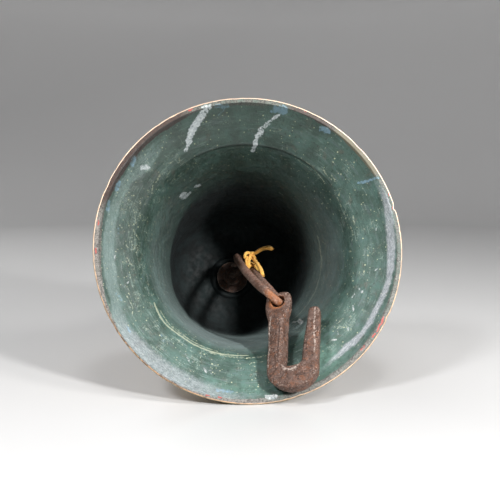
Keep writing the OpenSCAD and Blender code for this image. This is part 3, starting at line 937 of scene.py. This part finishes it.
def aged_brass():
    """Bell metal gone dull: golden where handled, brown in the hollows, green by the mouldings."""
    p = Paint("aged_brass")
    p.ground(p.step(p.noise(38, 6, 0.6, warp=0.4), 0.36, 0.64), srgb(134, 112, 62), srgb(190, 152, 84))
    p.coat(p.step(p.noise(14, 7, 0.7), 0.50, 0.68, 0, 0.75), srgb(84, 62, 40))
    home = p.attribute("home", "Vector")
    runs = p.noise(16, 5, 0.6, stretch=(1, 1, 0.14), vector=home)
    p.coat(p.step(runs, 0.54, 0.70, 0, 0.5), srgb(112, 96, 60))
    hollow = p.step(p.pointiness(), 0.495, 0.470, 0, 0.85)
    green = p.times(p.step(p.noise(10, 7, 0.7), 0.54, 0.68), 0.6)
    verdigris = p.mix(p.noise(3, 5), srgb(74, 108, 88), srgb(120, 156, 132))
    p.coat(p.math("MAXIMUM", p.times(hollow, p.step(p.noise(7, 5), 0.4, 0.6)), green), verdigris)
    worn = p.step(p.plus(p.pointiness(), p.times(p.noise(3, 4), 0.04)), 0.530, 0.560)
    p.coat(worn, srgb(222, 184, 120), 0.8)
    spots = p.step(p.cells(7), 0.22, 0.10, 0, 0.7)
    p.coat(p.times(spots, p.step(p.noise(20), 0.5, 0.62)), srgb(52, 42, 34))
    hair = p.noise(0.9, 3, 0.6, stretch=(0.12, 0.12, 2.0), vector=home)
    p.coat(p.step(hair, 0.62, 0.72, 0, 0.3), srgb(206, 172, 112))
    rough = p.step(p.noise(9, 6, 0.65), 0.34, 0.66, 0.30, 0.56)
    metal = p.math("SUBTRACT", 0.92, p.times(p.math("MAXIMUM", green, hollow), 0.7), clamp=True)
    height = p.plus(p.noise(4, 7, 0.65), p.times(spots, -0.5))
    return p.done(rough, p.bump(height, 0.22, 0.7), metallic=metal)


# ---------------------------------------------------------------- crown hardware

BOLT_R = 7.0
COLLAR_R = 11.0
SHAFT_BASE = 228.9
THREAD_FROM = 248.0
THREAD_PITCH = 2.5
THREAD_DEPTH = 0.28
BOLT_END = 278.0
NUT_BASE = 250.0
NUT_TOP = 261.0
NUT_FLATS = 24.0
EYE_CENTRE = 297.0
EYE_WIRE_R = 19.5

# The link hangs on the pin, and these directions are the CAD's
PIN_AT = np.array([9, -11, 180.0])
LINK_DOWN = np.array([0.109769, 0.368043, -0.923307])
LINK_WIDE = np.array([0.743325, 0.586290, 0.322075])
PIN_DIR = np.array([-0.958287, 0.285809, 0])
HOLE_AT = np.array([29.5125, 49.6532, 37.7828])
HOOK_DOWN = np.array([-0.130526, 0.858616, -0.495722])
HOOK_SIDE = np.array([0.898554, -0.108861, -0.425147])
HOOK_BACK = np.array([0.419003, 0.500926, 0.757304])


def placed(at, x, y, z):
    """The frame with its origin and axes as given, as a matrix in the bell's frame."""
    m = Matrix.Identity(4)
    for column, axis in enumerate((x, y, z)):
        for row in range(3):
            m[row][column] = axis[row]
    for row in range(3):
        m[row][3] = at[row] * MM
    return m


LINK_FRAME = placed(PIN_AT, LINK_WIDE, -LINK_DOWN, np.cross(LINK_WIDE, -LINK_DOWN))
HOOK_FRAME = placed(HOLE_AT, HOOK_SIDE, -HOOK_DOWN, -HOOK_BACK)


def forged(obj, lump, lump_size, pit, pit_size, seed, keep=None):
    """Hammer-worked and rust-pitted skin. keep, from 0 to 1, holds a point back."""
    at = positions(obj)
    shift = lump * noise(at, lump_size, seed, 2) + 0.25 * lump * noise(at, lump_size / 3, seed + 5, 2)
    shift -= pit * ease(noise(at, pit_size, seed + 1, 2), 0.20, 0.75)
    shift -= 0.6 * pit * ease(noise(at, pit_size * 0.45, seed + 2), 0.15, 0.8)
    if keep is not None:
        shift = shift * keep(at)
    push(obj, shift)


def disc_outline(inner_r, outer_r, low, high, rounding, dish):
    """A washer's closed outline, its rim dropped by the dish, with rounded corners."""
    def height(r, base):
        return base - dish * max(0.0, (r - COLLAR_R) / (outer_r - COLLAR_R))
    corners = [(inner_r, low), (outer_r - rounding, low), (outer_r, low + rounding),
               (outer_r, high - rounding), (outer_r - rounding, high), (inner_r, high)]
    line = resample(corners + corners[:1], 0.6)[:-1]
    return np.array([(r, height(r, z)) for r, z in line])


def make_washers(rust, iron, leather):
    """The dished washer inside the crown, and the leather ring and the washer on top of it."""
    bore_r = BOLT_R + 0.3
    for name, node, outer_r, low, high, dish, segments, material, slot, lump in (
            ("dished_washer", "inner_washer", 19, 229, 232, 1.2, 220, rust, "rusty_iron", 0.30),
            ("packing_leather", "packing_ring", 21, 244.05, 246.95, 0, 240, leather, "packing_leather",
             0.25),
            ("top_washer", "outer_washer", 19, 247, 250, 0, 220, iron, "fitting_iron", 0.16)):
        outline = disc_outline(bore_r, outer_r, low, high, 0.8, dish)
        obj = new_object(name, *lathe(outline, segments))
        at = positions(obj)
        free = ease(np.hypot(at[:, 0], at[:, 1]), outer_r - 4, outer_r)
        push(obj, (lump * noise(at, 5, 41, 3) - 0.1) * (0.2 + 0.8 * free))
        finish_piece(obj, material, "bell_body", slot, node)


def make_nut(iron):
    """A hexagon nut with turned-off corners and rounded edges."""
    flat_r = NUT_FLATS / 2
    corner_r = flat_r / math.cos(math.pi / 6)
    outline = resample([(7.1, NUT_BASE), (12.2, NUT_BASE), (14.2, NUT_BASE + 0.9), (14.2, NUT_TOP - 2.0),
                        (11.2, NUT_TOP), (8.6, NUT_TOP), (7.1, NUT_TOP - 1.0), (7.1, NUT_BASE)], 0.45)[:-1]

    def hexagon(r, z, angle):
        off = (angle + math.pi / 6) % (math.pi / 3) - math.pi / 6
        side = flat_r / np.cos(off) - 0.25 * ease(np.abs(off), 0.40, 0.53)
        chamfer = corner_r - 1.15 * np.clip((z - NUT_TOP + 2.2) / 2.2, 0, 1) ** 1.3
        return np.where(r > 9, np.minimum(np.minimum(r, side), chamfer), r)

    obj = new_object("crown_nut", *lathe(outline, 360, hexagon))
    at = positions(obj)
    push(obj, 0.12 * noise(at, 3.5, 45, 3) * (np.hypot(at[:, 0], at[:, 1]) > 9))
    finish_piece(obj, iron, "bell_body", "fitting_iron", "lock_nut")


def make_eye(iron):
    """The forged eye nut by which the bell hangs."""
    a = np.arange(160) * TURN / 160
    circle = np.stack([0 * a, EYE_WIRE_R * np.sin(a), EYE_CENTRE + EYE_WIRE_R * np.cos(a)], axis=1)

    def ring_section(i, angle):
        low = 0.5 - 0.5 * math.cos(a[i])
        return oval(5.4 + 0.25 * low, 6.75 + 0.2 * low, 3.0)(angle)

    ring = sweep(circle, ring_section, up=(1, 0, 0), closed=True)
    neck_outline = resample([(0.4, 261.1), (12.7, 261.1), (13, 261.8), (12.3, 268), (11.4, 274),
                             (11.8, 279), (11.4, 282.2), (0.4, 282.2)], 0.8)
    obj = new_object("hanging_eye_nut", *joined(ring, lathe(neck_outline, 96)))
    bore = resample([(0.3, 255), (7.1, 255), (7.1, 278.3), (0.3, 278.3)], 0.8)
    cutter = new_object("eye_bore", *lathe(bore, 64))
    fused(obj, 0.62, 6, cutter)

    def keep(at):
        """The bore keeps its shape."""
        away = np.abs(at[:, 2] - EYE_CENTRE)
        return np.where((away < 15) & (np.hypot(at[:, 1], at[:, 2] - EYE_CENTRE) < 15.5), 0.35, 1.0)

    forged(obj, 0.22, 9, 0.12, 2.4, 47, keep)
    finish_piece(obj, iron, "bell_body", "fitting_iron", "hanging_eye")


def make_hanger(rust):
    """The crown bolt: threaded shaft, collar, and its inner end forged into a bent pin."""
    knee = np.array([0, 0, 209.0])
    elbow = PIN_AT - 15.5 * PIN_DIR + [1, 1.5, 20]
    root = PIN_AT - 13 * PIN_DIR + [0, 0, 1.5]
    near = PIN_AT - 8 * PIN_DIR
    far = PIN_AT + 8 * PIN_DIR
    tip = PIN_AT + 15 * PIN_DIR + [0, -1, 1]
    stops = [((0, 0, 226), 5.6), ((0, 0, 222), 5.3), ((0, 0, 215), 4.8), (knee, 4.6),
             ((knee + elbow) / 2, 4.5), (elbow, 4.5), ((elbow + root) / 2, 4.0), (root, 3.6), (near, 3.45),
             (PIN_AT, 3.42), (far, 3.40), ((far + tip) / 2, 2.4), (tip, 1.3)]
    line = resample(smooth([(*point, radius) for point, radius in stops], 10), 0.7)

    def section(i, angle):
        r = line[i, 3]
        end = min(1.0, 0.35 + 0.65 * (len(line) - 1 - i) / 2)
        return oval(r * end, r * end, 2.3)(angle)

    arm = sweep(line[:, :3], section, up=(0.3, 0.9, 0.1))
    collar = lathe(resample([(0.4, 223.2), (9.4, 223.2), (10.7, 224.3), (10.9, 227.6), (10.5, 228.95),
                             (0.4, 228.95)], 0.6), 120)
    obj = new_object("crown_hanger", *joined(arm, collar))
    fused(obj, 0.5, 5)

    def keep(at):
        """The collar's seat and the pin keep their shape."""
        by_pin = np.linalg.norm(at - PIN_AT, axis=1) < 9
        return np.where(at[:, 2] > 228.2, 0.0, np.where(by_pin, 0.3, 1.0))

    forged(obj, 0.22, 5, 0.16, 1.9, 51, keep)
    shaft = [(0.3, SHAFT_BASE)]
    for z in np.arange(SHAFT_BASE, BOLT_END, 0.25):
        groove = THREAD_DEPTH * (0.5 - 0.5 * math.cos(TURN * (z - THREAD_FROM) / THREAD_PITCH))
        shaft.append((BOLT_R - 0.02 - (groove if z >= THREAD_FROM else 0), z))
    shaft += [(BOLT_R - 1.0, BOLT_END), (0.3, BOLT_END)]
    bolt = new_object("crown_bolt_shaft", *lathe(np.array(shaft), 96))
    for piece, nodes in ((obj, ("crown_bolt",)), (bolt, ())):
        finish_piece(piece, rust, "bell_body", "rusty_iron", *nodes)


# ---------------------------------------------------------------- clapper

ROD_R = 3.75
BOW_R = 10.25
STRAND_L = 146.224
TOP_BOW_Y = -2.6
# How far each strand bows out of the link's plane, and how much the rod is thicker than at its worn ends
LINK_BOW = (0.4, -2.6)
LINK_SWELL = 0.65


def make_link(rust):
    """The long link: one rod bent round and closed, thinner where it wears on the pin and in the hook."""
    arc = np.linspace(0, math.pi, 36)
    top = np.stack([BOW_R * np.cos(arc), TOP_BOW_Y + BOW_R * np.sin(arc)], axis=1)
    bottom = np.stack([-BOW_R * np.cos(arc), -STRAND_L - BOW_R * np.sin(arc)], axis=1)
    ring = resample(np.vstack([top, bottom, top[:1]]), 0.85)[:-1]
    path = np.column_stack([ring, np.zeros(len(ring))])

    def section(i, angle):
        radius = ROD_R * 0.985 * (1 + 0.015 * math.sin(path[i, 1] / 9.0 + path[i, 0]))
        return oval(radius, radius, 2.25)(angle)

    obj = new_object("clapper_long_link", *sweep(path, section, closed=True), at=LINK_FRAME)
    at = positions(obj)
    ends = ease(at[:, 1], -12, -4) + ease(-at[:, 1], STRAND_L - 4, STRAND_L + 4)
    shift = 0.20 * noise(at, 6, 61, 3) - 0.16 * ease(noise(at, 1.9, 62, 2), 0.2, 0.75)
    weld = np.exp(-((at[:, 1] + 96) / 3.5) ** 2) * (at[:, 0] > 0)
    push(obj, (shift + LINK_SWELL) * (1 - 0.75 * ends) + 0.32 * weld)
    bent = positions(obj)
    along = np.clip(-bent[:, 1] / STRAND_L, 0, 1)
    bow = np.sin(math.pi * along) ** 0.7
    bent[:, 2] += bow * np.where(bent[:, 0] > 0, *LINK_BOW)
    reshape(obj, bent)
    mask(obj, "socket", 0.85 * ease(-at[:, 1], STRAND_L + 1, STRAND_L + 11))
    finish_piece(obj, rust, "link", "clapper_iron", "clapper_link")


# The hook's middle line in its own frame, from the head down the bar, as
# (x, y, half width across, half thickness, squareness)
HOOK_BAR = [
    (-0.5, 10.9, 7.6, 2.6, 3.6), (-0.5, 10.2, 9.8, 3.7, 3.6), (-0.5, 8.5, 11.4, 4.3, 3.8),
    (-0.5, 5, 12.2, 4.5, 4.0), (-0.5, 0, 12.5, 4.5, 4.0), (-0.6, -6, 12.4, 4.6, 4.0),
    (-0.6, -11, 11.7, 5.2, 4.2), (-0.3, -16, 9.9, 6.4, 4.6), (0, -21, 8.6, 7.4, 5.0),
    (0, -30, 7.9, 7.7, 5.5), (0.2, -44, 7.5, 7.7, 5.5), (0.2, -58, 7.6, 7.7, 5.5),
]
# The same up the prong
HOOK_PRONG = [
    (31.6, -56, 7.2, 7.2, 5.0), (32.7, -42, 6.7, 6.7, 5.0), (33.9, -29, 6.1, 6.1, 4.5),
    (34.5, -21, 5.7, 5.6, 4.2), (34.8, -16.5, 5.4, 5.2, 3.8), (34.9, -13.6, 4.8, 4.6, 3.2),
    (34.9, -12.0, 3.4, 3.2, 2.6),
]
BEND_AT = (15.5, -69.5)
BEND_R = 15.5
# How far the bar is turned about its own length, in degrees
BAR_TWIST = 11


def hook_line():
    """The middle line of the hook with its section sizes, round a bend that is deepest in its middle."""
    bend = []
    for degrees in np.arange(0, 181, 22.5):
        a = math.radians(degrees)
        belly = math.sin(a)
        bend.append((BEND_AT[0] - (BEND_R - 0.6 * belly) * math.cos(a),
                     BEND_AT[1] - (BEND_R - 2.4 * belly) * belly,
                     7.6 + 3.0 * belly, 7.7 + 0.5 * belly, 5.0))
    return resample(smooth(HOOK_BAR + bend + HOOK_PRONG, 8), 0.8)


def make_hook(rust):
    """The forged hook that strikes the bell: flat punched head, square bar, heavy bend, tapered prong."""
    line = hook_line()
    path = np.column_stack([line[:, 0], line[:, 1], np.zeros(len(line))])
    twist = BAR_TWIST * ease(-line[:, 1], 12, 26)

    def section(i, angle):
        across, high = oval(line[i, 2], line[i, 3], line[i, 4])(angle)
        c, s = math.cos(math.radians(twist[i])), math.sin(math.radians(twist[i]))
        return c * across - s * high, s * across + c * high

    obj = new_object("clapper_hook_iron", *sweep(path, section), at=HOOK_FRAME)
    hole = [(0.3, -9), (8.0, -9), (7.0, -4.6), (6.4, -3.0), (6.4, 3.0), (7.0, 4.6), (8.0, 9), (0.3, 9)]
    cutter = new_object("hook_hole", *lathe(resample(hole, 0.8), 96), at=HOOK_FRAME)
    fused(obj, 0.5, 2, cutter)

    def keep(at):
        """The hole keeps its shape."""
        return np.where(np.hypot(at[:, 0], at[:, 1]) < 9.5, 0.25, 1.0)

    forged(obj, 0.45, 8, 0.45, 2.8, 71, keep)
    at = positions(obj)
    x, y, z = at.T
    front = ease(z, 1, 3)
    wander = 0.8 * noise(at * [0, 1, 0], 11, 75, 2)
    seam = np.exp(-((x - 3.4 - wander) / 0.8) ** 2) * front * between(y, -64, -30, 4)
    push(obj, -0.5 * seam)
    from_bend = np.hypot(x - BEND_AT[0], y - BEND_AT[1])
    ridge = np.exp(-((x + 6.2 + wander) / 1.3) ** 2) * between(y, -74, -18, 3)
    ridge = ridge + np.exp(-((from_bend - 8.2) / 1.6) ** 2) * ease(-y, 66, 70)
    ridge = ridge + np.exp(-((x - 36.3 + wander) / 1.2) ** 2) * between(y, -64, -14, 3)
    mask(obj, "ridge", ridge * front)
    mask(obj, "seam", seam)
    mask(obj, "socket", 1 - ease(np.hypot(at[:, 0] + 1, at[:, 1] + 1), 6.5, 9.5))
    finish_piece(obj, rust, "hook", "clapper_iron", "clapper_hook")


# ---------------------------------------------------------------- cord

CORD_D = 4.5
# The tails' routes, as in the CAD source
LONG_ROUTE = [(22, -19, 166), (27, -22, 161), (32, -23, 154), (36, -22, 147), (38, -20, 141)]
SHORT_ROUTE = [(20, -12, 164), (22, -8, 159), (24, -3, 153), (26, 3, 147), (27, 9, 143)]
KNOT_AT = np.array([18, -16, 167.0])
# The loop that hangs from the knot, and the one over the link's strand
BIGHT_ROUTE = [(16, -16, 164), (14.2, -11, 160.5), (13.4, -6, 158.8), (12.2, -3.2, 158.2),
               (11.0, -6, 158.8), (11.2, -11, 161), (12.5, -15, 163.5)]
OVER_ROUTE = [(16.5, -19, 166), (13, -19.5, 163.5), (10.2, -17.5, 162), (9.6, -14.5, 162.5),
              (11.2, -12.5, 163), (13.4, -13, 164)]
STRANDS = 3


def rope(path, radius, lay_length, closed=False, ends=0.0):
    """A laid rope: strands twisted round each other once every lay_length, and thinner over its ends."""
    along = np.concatenate([[0], np.cumsum(np.linalg.norm(np.diff(path, axis=0), axis=1))])

    def section(i, angle):
        turn = TURN * along[i] / lay_length
        lobes = np.abs(np.cos(STRANDS / 2 * (angle - turn))) ** 0.8
        end = 1.0
        if ends:
            end = min(1.0, 0.72 + 0.28 * min(along[i], along[-1] - along[i]) / ends)
        r = radius * (0.76 + 0.24 * lobes) * end
        return r * np.cos(angle), r * np.sin(angle)

    return sweep(path, section, up=(0.2, 0.1, 1), closed=closed)


def to_world(points):
    """Points in millimetres in the bell's frame as points in the shared frame, in metres."""
    return [tuple(LAID @ Vector(np.asarray(p, float) * MM)) for p in points]


def make_tail(name, node, route, fray_seed, material):
    """One free end of the cord, with its yarns coming apart at the end."""
    path = resample(smooth(route, 8), 0.45)
    points, faces = rope(path, CORD_D / 2 * 1.03, 8.5, ends=1.5)
    obj = new_object(name, points, faces)
    at = positions(obj)
    push(obj, 0.10 * noise(at, 1.2, fray_seed, 2))
    finish_piece(obj, material, "link", "tie_cord", node)
    random = np.random.default_rng(fray_seed)
    ahead = unit(path[-1] - path[-6])
    side = unit(np.cross(ahead, (0.2, 0.3, 1)))
    up = np.cross(ahead, side)
    yarns = []

    def yarn_section(count):
        """A yarn that thins to half its width."""
        return lambda i, angle: oval(0.30 * (1 - 0.5 * i / count), 0.30 * (1 - 0.5 * i / count))(angle)

    for _ in range(16):
        a = random.uniform(0, TURN)
        out = random.uniform(0.2, 1.0)
        across = math.cos(a) * side + math.sin(a) * up
        start = path[-1] - 1.2 * ahead + across * out * 1.45
        length = random.uniform(1.6, 3.0)
        spread = random.uniform(0.15, 0.55) * out
        yarn = [start + ahead * length * t + across * spread * length * t * t for t in np.linspace(0, 1, 7)]
        yarn = resample(np.array(yarn), 0.35)
        yarns.append(sweep(yarn, yarn_section(len(yarn))))
    fray = new_object(name + "_fray", *joined(*yarns))
    fray.data.materials.append(material)
    settle(fray)
    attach(fray, "link")
    world_path = to_world(path)
    length = sum((Vector(b) - Vector(a)).length for a, b in zip(world_path, world_path[1:]))


def make_tie(material):
    """Three turns round the link's strand, and a knot with two loops beside it."""
    pitch = CORD_D + 0.1
    turns = 3
    a = np.linspace(0, TURN * turns, 46 * turns)
    wrap_r = ROD_R + CORD_D / 2 + 0.05
    coil = np.stack([BOW_R - 0.6 + wrap_r * np.cos(a), -7.5 + pitch / 2 - pitch * a / TURN,
                     wrap_r * np.sin(a)], axis=1)
    obj = new_object("tie_turns", *rope(coil, CORD_D / 2 * 0.95, 8.5, ends=1.5), at=LINK_FRAME)
    push(obj, 0.07 * noise(positions(obj), 1.2, 83, 2))
    finish_piece(obj, material, "link", "tie_cord", "tie_wrap")
    t = np.arange(150) * TURN / 150
    trefoil = np.stack([np.sin(t) + 2 * np.sin(2 * t), np.cos(t) - 2 * np.cos(2 * t),
                        -1.3 * np.sin(3 * t)], axis=1)
    lean = np.array(Matrix.Rotation(math.radians(38), 3, (1, 0.4, 0.2)))
    knot_path = KNOT_AT + 1.32 * trefoil @ lean.T
    pieces = [rope(knot_path, 1.95, 8.0, closed=True)]
    for route in (BIGHT_ROUTE, OVER_ROUTE):
        pieces.append(rope(resample(smooth(route, 8), 0.45), 1.9, 7.0, ends=1.2))
    knot = new_object("tie_knot_lump", *joined(*pieces))
    push(knot, 0.07 * noise(positions(knot), 1.2, 84, 2))
    finish_piece(knot, material, "link", "tie_cord", "tie_knot")


def yellow_cord():
    """Laid cotton cord, yellow, with painted shade between the strands, and paler where fibres stand up."""
    p = Paint("yellow_cord")
    p.ground(p.noise(5, 4), srgb(246, 172, 66), srgb(254, 210, 112))
    fibre = p.noise(0.55, 4, 0.7, stretch=(1, 1, 0.35))
    p.coat(p.step(fibre, 0.50, 0.36, 0, 0.45), srgb(176, 104, 30))
    p.coat(p.step(fibre, 0.58, 0.74, 0, 0.6), srgb(252, 218, 134))
    # Painted shade between the strands
    p.coat(p.step(p.pointiness(), 0.48, 0.42, 0, 0.6), srgb(160, 92, 28))
    return p.done(0.85, p.bump(fibre, 0.16, 0.9), Sheen_Weight=0.25, Sheen_Roughness=0.5)


def old_leather():
    """Dark tan leather, cracked at the rim."""
    p = Paint("packing_leather")
    p.ground(p.step(p.noise(6, 5), 0.35, 0.65), srgb(92, 62, 40), srgb(132, 92, 58))
    crack = p.step(p.cells(1.6), 0.16, 0.04, 0, 0.7)
    p.coat(crack, srgb(48, 32, 24))
    grain = p.noise(0.9, 5, 0.7)
    p.coat(p.step(grain, 0.55, 0.7, 0, 0.35), srgb(166, 128, 88))
    return p.done(p.step(grain, 0.3, 0.7, 0.62, 0.82), p.bump(p.plus(grain, crack), 0.2, 0.8))


# ---------------------------------------------------------------- room

FLOOR_COLOUR = (0.60, 0.595, 0.59)
TABLE_R = 2.0
WALL_R = 3.0
WALL_H = 2.6
# Where most lights point
AIM = (0, -0.05, 0.14)
LIGHTS = [
    ("key_right", (0.88, -0.98, 1.22), AIM, (0.26, 0.26), 9, (1.0, 0.98, 0.96)),
    ("key_left", (-0.88, -0.98, 1.22), AIM, (0.26, 0.26), 17, (0.97, 0.98, 1.0)),
    ("top_front", (0.08, -0.84, 1.57), AIM, (0.30, 0.22), 7, (1, 1, 1)),
    ("crown_light", (0.71, -1.20, 0.64), (0, -0.02, 0.11), (0.14, 0.14), 28, (1, 1, 1)),
    ("back_fill", (-1.1, 0.9, 1.5), (-0.3, 0, 0.05), (1.3, 1.0), 17, (1, 1, 1)),
]


def soft_light(name, at, aim, size, power, colour):
    data = bpy.data.lights.new(name, "AREA")
    data.shape = "RECTANGLE"
    data.size, data.size_y = size
    data.energy = power
    data.color = colour
    light = bpy.data.objects.new(name, data)
    bpy.context.scene.collection.objects.link(light)
    light.location = at
    light.rotation_euler = (Vector(aim) - Vector(at)).to_track_quat("-Z", "Y").to_euler()


def make_floor():
    """A pale table that curves up into a wall all round, painted darker behind the camera as shade for a
    dark room there.
    """
    curve = WALL_R - TABLE_R
    line = [(0.6, 0.0), (1.2, 0.0), (TABLE_R, 0.0)]
    line += [(TABLE_R + curve * math.sin(a), curve * (1 - math.cos(a)))
             for a in np.linspace(0.1, math.pi / 2, 14)]
    line += [(WALL_R, WALL_H)]
    outline = np.array(line) / MM
    segments = 96
    angle = np.arange(segments) * TURN / segments
    points = np.stack([outline[:, :1] * np.cos(angle), outline[:, :1] * np.sin(angle),
                       np.repeat(outline[:, 1:], segments, axis=1)], axis=-1).reshape(-1, 3)
    faces = grid_faces(len(outline), segments).tolist() + [list(range(segments))[::-1]]
    floor = new_object("pale_floor", points, faces)
    floor.matrix_world = Matrix.Identity(4)
    p = Paint("pale_table")
    split = p.tree.nodes.new("ShaderNodeSeparateXYZ")
    p.put(split.inputs[0], p.place)
    # Painted shade: darker in front, behind the camera, standing in for a dark room
    p.ground(p.step(split.outputs[1], -1.7, -1.0), srgb(122, 122, 124), FLOOR_COLOUR)
    floor.data.materials.append(p.done(0.26, Specular_IOR_Level=0.5))


def make_room():
    """The floor, five soft lights, and a little light from all sides."""
    make_floor()
    for light in LIGHTS:
        soft_light(*light)
    world = bpy.data.worlds.new("studio")
    bpy.context.scene.world = world
    world.use_nodes = True
    back = world.node_tree.nodes["Background"]
    back.inputs[0].default_value = (0.9, 0.93, 1.0, 1)
    back.inputs[1].default_value = 0.10


# ---------------------------------------------------------------- everything

make_camera()
cord_yellow = yellow_cord()
make_tail("tail_long", "tie_tail_long", LONG_ROUTE, 91, cord_yellow)
make_tail("tail_short", "tie_tail_short", SHORT_ROUTE, 92, cord_yellow)
make_tie(cord_yellow)
# light scales the rust: painted light on the brighter link, painted shade on the darker hanger and washer
# deep in the crown
clapper_rust = rusty_iron("clapper_rust", 0.67, 0.5, "socket")
link_rust = rusty_iron("link_rust", 1.1, 0.45, "socket")
hanger_rust = rusty_iron("hanger_rust", 0.5, 1.0)
fitting_iron = rusty_iron("fitting_iron", 0.66, 0.35)
make_link(link_rust)
make_hook(clapper_rust)
make_hanger(hanger_rust)
make_washers(hanger_rust, fitting_iron, old_leather())
make_nut(fitting_iron)
make_eye(fitting_iron)
make_bell()
make_room()
bpy.context.scene.view_settings.view_transform = "Standard"
